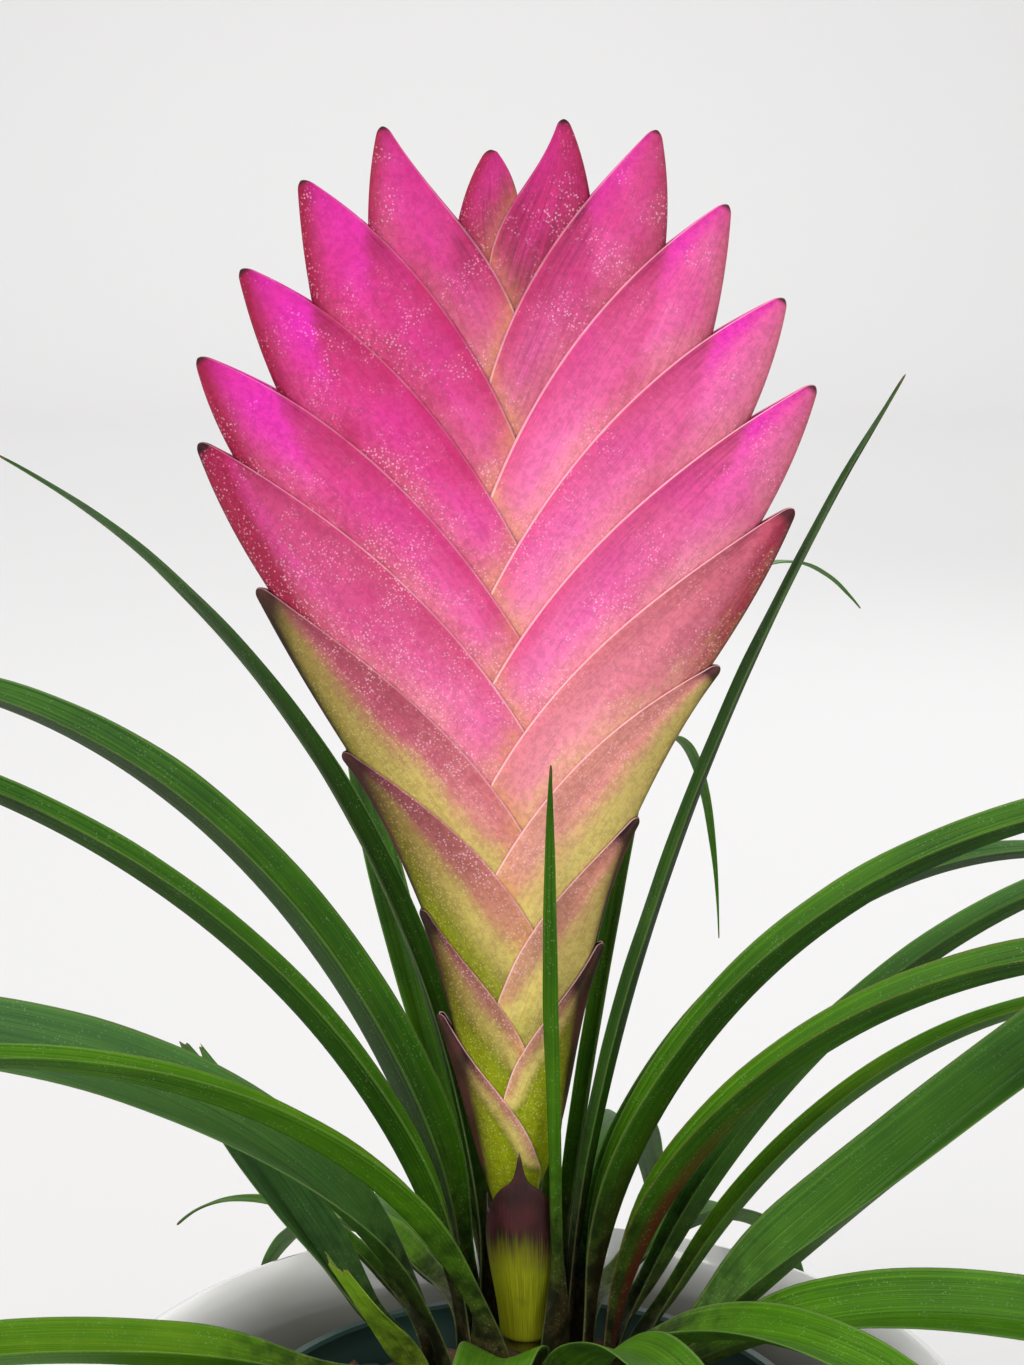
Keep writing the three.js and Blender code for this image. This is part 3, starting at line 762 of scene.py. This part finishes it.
bractSkin = bractMaterial()
sheathSkin = sheathMaterial()
shapes = {
    "left": [bractShape(row, -1) for row in leftBracts],
    "right": [bractShape(row, 1) for row in rightBracts],
}
bracts = []
for side, other, tints in (("left", "right", leftTints), ("right", "left", rightTints)):
    own = shapes[side]
    for i, shape in enumerate(own):
        lower = [item for item in shapes[other] if item["cross"] < shape["cross"]]
        above = own[i - 1] if i else None
        below = own[i + 1] if i + 1 < len(own) else None
        around = (above, below, lower[0] if lower else None)
        bracts.append((f"bract_{side}_{i + 1:02d}", shape, tints[i], around))
# the top ones first, so that each lower one lies over those above it
for name, shape, tint, around in sorted(bracts, key=lambda item: -item[1]["cross"]):
    addBract(name, shape, tint, around, bractSkin)
addStalk(sheathSkin)
for sheath in sheaths:
    addSheath(sheath, sheathSkin)
print("flower spike made")


# leaves: the solids' own curves, finer, with a rounded channel and a thin blade
tiers = [(5.6, 86.0), (8.2, 83.4), (10.8, 80.4), (13.4, 77.0)]
blade = {
    "steps": 42,
    "halfSteps": 4,
    "wall": 0.7,
    "thinnest": 0.4,
    "claw": 2.8,
    "fold": 52,
    "tipFold": 20,
    "clawLength": 30,
    "roundness": 0.14,
    "clasp": 15,
}
# leaves by the way they head, in degrees and mm. A leaf sets off at its rise above level, bends down by its
# droop on the way, late if curl is above 1, turns sideways by its sway and rolls about itself. Its seat is
# given where it is rooted elsewhere, cut where its end is missing, broad where it is soon at full width, fold
# where it is flatter than most and taper where it stays broad for longer. tone: how light it is. blue: its
# waxy bloom with a painted sheen. brown: its red-brown strip
leaves = [
    dict(azimuth=151, rise=86, droop=65, curl=1.2, sway=6, length=137, width=7.2, tier=0, fold=38,
         tone=-0.4),
    dict(azimuth=162, seat=157, rise=81, droop=132, curl=1.2, sway=-6, length=188, width=13, tier=1,
         tone=-0.1),
    dict(azimuth=186, seat=193, rise=85, droop=110, curl=0.86, length=200, width=9, tier=1, roll=6),
    dict(azimuth=197, rise=79.3, droop=122, curl=0.75, length=190, width=13.8, tier=2, roll=38, fold=32,
         tone=0.1, blue=0.8),
    dict(azimuth=206, seat=236, rise=86, droop=119, curl=0.66, sway=-7, length=164, width=8.5, tier=1,
         tone=0.5),
    dict(azimuth=175, rise=56, droop=-3, length=57, width=11, tier=3, roll=30, cut=0.8, blue=0.9),
    dict(azimuth=212, rise=64, droop=5, length=31, width=10.5, tier=3, cut=0.7, tone=1.5),
    dict(azimuth=192, rise=23, droop=94, curl=1.25, length=175, width=12, tier=3, roll=12, tone=0.5),
    dict(azimuth=150, rise=64, droop=112, curl=1.25, sway=-2, length=52, width=5, tier=3, tone=0.1),
    dict(azimuth=118, rise=50, droop=16, curl=1.3, sway=-18, length=108, width=9, tier=0, tone=-0.2),
    dict(azimuth=240, seat=313, rise=85.5, droop=-6, length=77, width=3.2, tier=0, taper=0.6, tone=0.45),
    dict(azimuth=5, rise=85.3, droop=26, curl=0.94, sway=1, length=129, width=7.2, tier=0, taper=0.6,
         fold=28, tone=-0.3),
    dict(azimuth=48, rise=78, droop=3, sway=2, length=104, width=5, tier=0, tone=-0.2),
    dict(azimuth=357, rise=86, droop=145, curl=1.06, sway=-1, length=189, width=11, tier=1, roll=-6,
         tone=0.1, brown=0.2),
    dict(azimuth=25, rise=86, droop=158, sway=-5, length=168, width=9, tier=1, tone=0.1, blue=0.5),
    dict(azimuth=350, rise=86, droop=150, curl=0.9, sway=-2, length=187, width=11, tier=2, roll=-6, tone=0.2,
         brown=1.0),
    dict(azimuth=8, rise=64, droop=146, curl=1.55, sway=-2, length=188, width=9, tier=2, tone=0.2, blue=0.6),
    dict(azimuth=16, rise=62, droop=156, curl=1.35, length=163, width=6.5, tier=3, tone=0.5),
    dict(azimuth=5, seat=352, rise=43, droop=90, curl=3, length=180, width=16, tier=3, roll=-34, tone=0.1,
         blue=0.4),
    dict(azimuth=338, rise=53, droop=126, curl=0.8, length=170, width=13, tier=3, roll=-26, fold=36),
    dict(azimuth=318, rise=58, droop=126, curl=0.95, length=94, width=12.5, tier=2, broad=18, fold=30,
         tone=0.1),
    dict(azimuth=264, rise=70, droop=124, curl=0.8, length=84, width=11.5, tier=2, broad=18, fold=26,
         tone=0.2),
    dict(azimuth=287, rise=70, droop=110, curl=0.96, length=89, width=11.5, tier=3, broad=20, fold=26,
         tone=0.1),
    dict(azimuth=74, rise=87, droop=165, sway=2, length=185, width=4, tier=1, tone=0.7),
    dict(azimuth=122, rise=21, droop=75, curl=0.9, sway=-6, length=84, width=9.5, tier=2, tone=0.3),
    dict(azimuth=100, rise=38, droop=98, curl=0.9, sway=-4, length=132, width=9.5, tier=2, tone=0.1),
    dict(azimuth=58, rise=21, droop=80, curl=0.9, sway=6, length=96, width=9.5, tier=2, tone=0.3),
    dict(azimuth=78, rise=28, droop=92, curl=0.9, sway=3, length=146, width=10.5, tier=3, tone=0.1),
    dict(azimuth=112, rise=20, droop=88, curl=0.9, sway=-6, length=120, width=10.5, tier=3, tone=0.2),
    dict(azimuth=73, seat=86, rise=86, droop=116, curl=0.75, sway=-8, length=214, width=5, tier=0, tone=0.8,
         blue=1.0),
    dict(azimuth=236, rise=36, droop=104, curl=0.7, sway=4, length=140, width=10.5, tier=3, tone=0.4),
    dict(azimuth=312, rise=30, droop=104, curl=0.7, sway=4, length=135, width=10.5, tier=3, tone=0.4),
]


def leafSeat(leaf):
    # radius and height of the tier that the leaf stands on, and where around the stem
    return (*tiers[leaf["tier"]], math.radians(leaf.get("seat", leaf["azimuth"])))


def leafTrack(leaf, count=72):
    # stations from the base to the tip: the midrib's point and the way to the side and up from it
    radius, height, seat = leafSeat(leaf)
    spot = Vector((radius * math.cos(seat), radius * math.sin(seat), height))
    track = []
    for i in range(count + 1):
        t = i / count
        rise = math.radians(leaf["rise"] - leaf["droop"] * t ** leaf.get("curl", 1))
        turn = math.radians(leaf["azimuth"] + leaf.get("sway", 0) * t)
        outward = Vector((math.cos(turn), math.sin(turn), 0))
        along = outward * math.cos(rise) + Vector((0, 0, math.sin(rise)))
        roll = math.radians(leaf.get("roll", 0)) * smooth(t / 0.35)
        side = Matrix.Rotation(-roll, 3, along) @ Vector((-outward.y, outward.x, 0))
        track.append((spot.copy(), side, along.cross(side)))
        spot += along * (leaf["length"] / count)
    return track


def onTrack(track, t):
    place = clamp(t) * (len(track) - 1)
    i = min(int(place), len(track) - 2)
    share = place - i
    return [a.lerp(b, share) for a, b in zip(track[i], track[i + 1])]


def leafWidth(leaf, t):
    # half the width and the fold of each half, in radians
    length = leaf["length"]
    broad = leaf.get("broad", min(blade["clawLength"], 0.6 * length))
    grown = lerp(blade["claw"], leaf["width"], smooth(t * length / broad))
    reach = t * leaf.get("cut", 1)
    half = max(grown / 2 * (1 - reach ** 2) ** leaf.get("taper", 0.8), 0.14)
    opened = lerp(leaf.get("fold", blade["fold"]), blade["tipFold"], smooth((t - 0.3) / 0.5))
    fold = lerp(blade["tipFold"], opened, smooth(t * length / 14)) * clamp(half / 1.5, 0.4, 1)
    return half, math.radians(fold)


def channel(s):
    # height of a rounded V at a share s from the midrib to the margin
    c = blade["roundness"]
    return (math.sqrt(s * s + c * c) - c) / (math.sqrt(1 + c * c) - c)


def addLeaf(number, leaf, material):
    torn = "cut" in leaf
    half = blade["halfSteps"] * (3 if torn else 1)
    piece = startGrid(f"blade_{number:02d}", blade["steps"], 2 * half)
    track = leafTrack(leaf)
    length = leaf["length"]
    radius, height, seat = leafSeat(leaf)
    clasp = blade["clasp"]
    walls = piece.vertex_groups.new(name="wall")
    values = {"along": [], "across": []}
    for point in piece.data.vertices:
        t = point.co.x + 0.5
        v = 2 * point.co.y
        values["along"].append(t)
        values["across"].append(v)
        if torn:
            rag = 0.5 + 0.5 * wobble(v * 3.1, number) + 0.35 * wobble(v * 13, number + 2)
            t *= 1 - 0.07 * rag * smooth(t, 0.7, 1)
        spot, side, up = onTrack(track, t)
        reach, fold = leafWidth(leaf, t)
        reach *= 1 + 0.012 * wobble(t * length / 5, number + v)
        waves = 0.18 * wobble(t * length / 11, number + 3 * v) * abs(v) * smooth(t, 0.1, 0.4)
        rise = reach * math.sin(fold) * channel(abs(v)) + waves
        place = spot + side * (v * reach * math.cos(fold)) + up * rise
        # the base clasps the crown
        fromBase = t * length
        if fromBase < clasp:
            wide = (1.6 + 0.3 * leaf["width"]) * (1 - 0.15 * fromBase / clasp)
            angle = seat + v * wide / radius
            rim = radius + fromBase * 0.06 + 0.25
            held = Vector((rim * math.cos(angle), rim * math.sin(angle), height + fromBase * 0.96))
            place = held.lerp(place, smooth(fromBase, 0, clasp))
        point.co = place * mm
        walls.add([point.index], lerp(1, blade["thinnest"], abs(v) ** 1.5) * lerp(1, 0.5, t), "REPLACE")
    for key, numbers in values.items():
        storeValue(piece, key, numbers)
    thicken(piece, blade["wall"], 1, "wall")
    piece.vertex_groups.clear()
    under, root, tip = [], [], []
    along = [item.value for item in piece.data.attributes["along"].data]
    for point, t in zip(piece.data.vertices, along):
        under.append(smooth(-point.normal.dot(onTrack(track, t)[2]), -0.25, 0.25))
        root.append(t * length)
        tip.append((1 - t) * length if not torn else 40 * (1 - t) + 1)
    storeValue(piece, "under", under)
    storeValue(piece, "root", root)
    storeValue(piece, "tip", tip)
    for key in ("tone", "blue", "brown"):
        storeValue(piece, key, [leaf.get(key, 0)] * len(root))
    keep(piece, material, "leaf", f"leaf_{number:02d}")


def leafMaterial():
    paint = Paint("leafSkin")
    streak = paint.noise(paint.surface((2.0, 22.0, 1)), 1.0, 3.0, 0.65)
    fine = paint.noise(paint.surface((3.0, 90.0, 1)), 1.0, 2.0, 0.6)
    cloud = paint.noise(paint.place(), 70.0, 3.0, 0.6)
    mottle = paint.noise(paint.place(), 420.0, 3.0, 0.65)
    tone = paint.value("tone")
    under = paint.value("under")
    root = paint.value("root")
    # the under face is painted darker, as painted shade
    level = tone * 0.42 + 0.38 + (streak - 0.5) * 0.75 + (cloud - 0.5) * 0.45 - under * 0.22
    level = level + (1 - root.step(20, 90)) * 0.12
    skin = paint.ramp(
        level,
        [
            (0.0, colour(12, 30, 4)),
            (0.3, colour(36, 78, 2)),
            (0.6, colour(70, 120, 4)),
            (1.0, colour(126, 164, 26)),
        ],
    )
    # a bluish waxy bloom with a painted sheen lies on the upper face towards the tip
    bloomAndSheen = (1 - under) * (paint.value("blue") * 0.45 + root.step(40, 130) * 0.1) * (0.4 + streak * 0.8)
    skin = paint.mix(bloomAndSheen, skin, colour(92, 128, 96))
    skin = paint.mix(fine.step(0.45, 0.8) * 0.2, skin, colour(132, 160, 60))
    skin = paint.mix((1 - fine.step(0.3, 0.5)) * 0.3, skin, colour(14, 36, 6))
    # dark mottled bases, and a red-brown strip on some
    foot = 1 - (root + (mottle - 0.5) * 30 + (cloud - 0.5) * 14).step(4, 32)
    footTint = paint.mix(mottle.step(0.4, 0.6), colour(24, 10, 16), colour(62, 40, 30))
    skin = paint.mix(foot * 0.9, skin, footTint)
    across = paint.value("across")
    edge = paint.node("ShaderNodeMath", {"operation": "ABSOLUTE"}, [across])
    low = 1 - (root + (cloud - 0.5) * 20).step(24, 50)
    strip = paint.value("brown") * under * (1 - edge.step(0.35, 0.7)) * low
    skin = paint.mix(strip * (0.5 + streak * 0.6), skin, colour(84, 30, 18))
    line = edge.step(0.93, 0.985)
    lineTint = paint.mix(paint.value("brown"), colour(128, 140, 84), colour(120, 78, 52))
    skin = paint.mix(line * 0.22, skin, lineTint)
    # small pale scales and a brown point
    cells = paint.node("ShaderNodeTexVoronoi", None, {"Vector": paint.place(), "Scale": 2200.0})
    scales = (1 - cells.step(0.12, 0.32)) * mottle.step(0.4, 0.65)
    skin = paint.mix(scales * 0.2, skin, colour(176, 200, 160))
    skin = paint.mix((1 - paint.value("tip").step(0.4, 2.2)) * 0.8, skin, colour(96, 72, 48))
    relief = streak * 0.8 + fine * 0.4
    inputs = {
        "Base Color": skin,
        "Roughness": 0.42 + cloud * 0.14 + under * 0.08,
        "Specular IOR Level": 0.12,
        "Subsurface Weight": 0.12,
        "Subsurface Radius": (0.4, 1.0, 0.2),
        "Subsurface Scale": 0.0015,
        "Normal": paint.bump(relief, 0.00025, 0.55),
    }
    return paint.shader(inputs)


leafSkin = leafMaterial()
for number, leaf in enumerate(leaves, 1):
    addLeaf(number, leaf, leafSkin)
print("leaves made")


# pots, bark and crown: each profile is turned, with radius and height in mm
coverPot = {
    "sides": 128,
    "profile": [
        (41.5, 0), (42.6, 0.5), (43, 1.5), (46.4, 10), (50.4, 22), (53.6, 33), (56.2, 44), (58, 55),
        (59.5, 66), (60.9, 69), (60.4, 71.6), (59.3, 74), (57.9, 75.4), (56.5, 76), (55.1, 75.4),
        (53.6, 73.8), (52.1, 71.2), (51, 69), (49.5, 65), (47.3, 47), (44.9, 24), (41.2, 16), (38, 10.5),
        (36, 7.2), (33, 5.5),
    ],
}
nurseryPot = {
    "sides": 96,
    "profile": [
        (26, 5.8), (27, 6.6), (31, 32), (34.2, 54), (36.4, 68.2), (38.2, 68.5), (38.5, 69), (38.5, 73),
        (38.1, 73.5), (37, 73.5), (36.6, 73.1), (36.5, 70.2), (35.1, 68.2), (32.9, 54), (29.7, 32), (25.9, 8),
        (25.2, 7.1),
    ],
    "holes": 6,
    "holeRadius": 3.5,
    "holeRing": 18,
    "holeDepth": 8,
    "holeHeight": 6,
}
bark = {
    "sides": 64,
    "profile": [
        (24.8, 7.5), (29.4, 33), (32.6, 55), (34.3, 66), (33.6, 67.4), (30, 67.8), (22, 68.1), (16, 68.3),
        (14.4, 68.4),
    ],
    "kinds": 3,
    "chips": 330,
    "low": 66.6,
    "high": 69.8,
    "inner": 14.5,
    "outer": 32.5,
    "size": (2.2, 5.6),
}
stem = {
    "sides": 72,
    "profile": [
        (4.6, 34), (6, 37), (9, 46), (11.4, 56), (13, 66), (13.7, 72), (13.8, 76.4), (11.4, 77), (11.2, 79.8),
        (8.8, 80.4), (8.6, 82.8), (6.2, 83.4), (5.9, 85.6), (5, 86),
    ],
}


def addCoverPot():
    piece = turned("glazedPot", coverPot["sides"], coverPot["profile"])
    # painted shade: the inner wall and floor are painted darker over the first 8 mm below the lip
    inside = []
    for point in piece.data.vertices:
        ring = math.hypot(point.co.x, point.co.y) / mm
        height = point.co.z / mm
        within = ring < 55 and (height > 71 or ring < 0.11 * height + 44) and height > 5
        inside.append(smooth(75.5 - height, 0, 8) if within else 0)
    storeValue(piece, "inside", inside)
    bpy.ops.object.shade_smooth_by_angle(angle=math.radians(42))
    paint = Paint("whiteGlaze")
    cloud = paint.noise(paint.place(), 30.0, 2.0)
    skin = paint.mix(cloud, colour(232, 231, 228), colour(240, 239, 237))
    # painted shade inside the pot, darker further below the lip
    skin = paint.mix(paint.value("inside") * (0.8 + cloud * 0.4), skin, colour(128, 127, 120))
    wave = paint.noise(paint.place(), 120.0, 2.0)
    inputs = {
        "Base Color": skin,
        "Roughness": 0.2,
        "Coat Weight": 0.5,
        "Coat Roughness": 0.06,
        "Normal": paint.bump(wave, 0.0002, 0.35),
    }
    keep(piece, paint.shader(inputs), "cover_pot", "cover_pot")


def addNurseryPot():
    piece = turned("growersPot", nurseryPot["sides"], nurseryPot["profile"])
    cutters = []
    for i in range(nurseryPot["holes"]):
        angle = 2 * math.pi * i / nurseryPot["holes"]
        ring = nurseryPot["holeRing"] * mm
        place = (ring * math.cos(angle), ring * math.sin(angle), nurseryPot["holeHeight"] * mm)
        bpy.ops.object.select_all(action="DESELECT")
        radius, depth = nurseryPot["holeRadius"] * mm, nurseryPot["holeDepth"] * mm
        bpy.ops.mesh.primitive_cylinder_add(vertices=32, radius=radius, depth=depth, location=place)
        cutters.append(bpy.context.object)
    for cutter in cutters:
        bpy.ops.object.select_all(action="DESELECT")
        bpy.context.view_layer.objects.active = piece
        piece.select_set(True)
        hole = piece.modifiers.new("hole", "BOOLEAN")
        hole.operation = "DIFFERENCE"
        hole.solver = "EXACT"
        hole.object = cutter
        bpy.ops.object.modifier_apply(modifier=hole.name)
        bpy.data.objects.remove(cutter)
    bpy.ops.object.shade_smooth_by_angle(angle=math.radians(35))
    paint = Paint("greenPlastic")
    grain = paint.noise(paint.place(), 900.0, 2.0)
    cloud = paint.noise(paint.place(), 60.0, 2.0)
    skin = paint.mix(cloud.step(0.4, 0.7), colour(24, 52, 46), colour(34, 66, 58))
    inputs = {"Base Color": skin, "Roughness": 0.48, "Normal": paint.bump(grain, 0.0001, 0.3)}
    keep(piece, paint.shader(inputs), "nursery_pot", "nursery_pot")


def addMix():
    piece = turned("pottingBody", bark["sides"], bark["profile"])
    bpy.ops.object.shade_smooth_by_angle(angle=math.radians(50))
    paint = Paint("barkMix")
    grain = paint.noise(paint.place(), 500.0, 4.0, 0.7)
    cloud = paint.noise(paint.place(), 120.0, 3.0)
    skin = paint.ramp(
        grain * 0.6 + cloud * 0.4,
        [
            (0.25, colour(24, 15, 10)),
            (0.5, colour(66, 42, 27)),
            (0.7, colour(112, 76, 48)),
            (0.95, colour(150, 112, 76)),
        ],
    )
    material = paint.shader({"Base Color": skin, "Roughness": 0.85, "Normal": paint.bump(grain, 0.0006, 0.8)})
    keep(piece, material, "growing_mix", "growing_mix")
    # a few kinds of chip, each copied and turned many times
    kinds = []
    for i in range(bark["kinds"]):
        bpy.ops.object.select_all(action="DESELECT")
        bpy.ops.mesh.primitive_cube_add(size=1)
        kind = bpy.context.object
        bpy.ops.object.mode_set(mode="EDIT")
        bpy.ops.mesh.select_all(action="SELECT")
        bpy.ops.mesh.subdivide(number_cuts=2)
        bpy.ops.transform.resize(value=(1, lerp(0.5, 0.8, i / 2), lerp(0.2, 0.34, i / 2)))
        bpy.ops.object.mode_set(mode="OBJECT")
        for point in kind.data.vertices:
            x, y = point.co.x, point.co.y
            shift = Vector((wobble(y * 9, i), wobble(x * 8, i + 3), wobble(x * 11, i + 7)))
            point.co += Vector((shift.x * 0.09, shift.y * 0.08, shift.z * 0.06))
        kinds.append(kind)
    chips = []
    for i in range(bark["chips"]):
        chip = rand.choice(kinds).copy()
        chip.data = chip.data.copy()
        bpy.context.collection.objects.link(chip)
        ring = math.sqrt(rand.uniform(bark["inner"] ** 2, bark["outer"] ** 2))
        angle = rand.uniform(0, 2 * math.pi)
        size = rand.uniform(*bark["size"]) * mm
        height = rand.uniform(bark["low"], bark["high"])
        spot = Vector((ring * math.cos(angle), ring * math.sin(angle), height)) * mm
        tilt = Matrix.Rotation(rand.uniform(0, 6.28), 4, "Z") @ Matrix.Rotation(rand.gauss(0, 0.35), 4, "X")
        chip.data.transform(Matrix.Translation(spot) @ tilt @ Matrix.Scale(size, 4))
        chips.append(chip)
    for kind in kinds:
        bpy.data.objects.remove(kind)
    bpy.ops.object.select_all(action="DESELECT")
    for chip in chips:
        chip.select_set(True)
    bpy.context.view_layer.objects.active = chips[0]
    bpy.ops.object.join()
    heap = bpy.context.object
    heap.name = "barkChips"
    bpy.ops.object.shade_smooth_by_angle(angle=math.radians(40))
    keep(heap, material, "growing_mix", "growing_mix")


def addCrown():
    piece = turned("stemCore", stem["sides"], stem["profile"])
    for point in piece.data.vertices:
        angle = math.atan2(point.co.y, point.co.x)
        z = point.co.z / mm
        scars = 0.25 * wobble(angle * 3, math.floor(z / 4)) + 0.12 * wobble(angle * 11, z)
        share = 1 - abs(scars) * 0.5 * mm / max(math.hypot(point.co.x, point.co.y), mm)
        point.co.x *= share
        point.co.y *= share
    bpy.ops.object.shade_smooth_by_angle(angle=math.radians(40))
    paint = Paint("fibrousStem")
    grain = paint.noise(paint.place((1, 1, 0.25)), 900.0, 3.0, 0.7)
    skin = paint.mix(grain.step(0.35, 0.65), colour(38, 26, 18), colour(98, 74, 48))
    inputs = {"Base Color": skin, "Roughness": 0.8, "Normal": paint.bump(grain, 0.0004, 0.7)}
    keep(piece, paint.shader(inputs), "crown", "crown")


addCoverPot()
addNurseryPot()
addMix()
addCrown()
print("pots, bark and crown made")
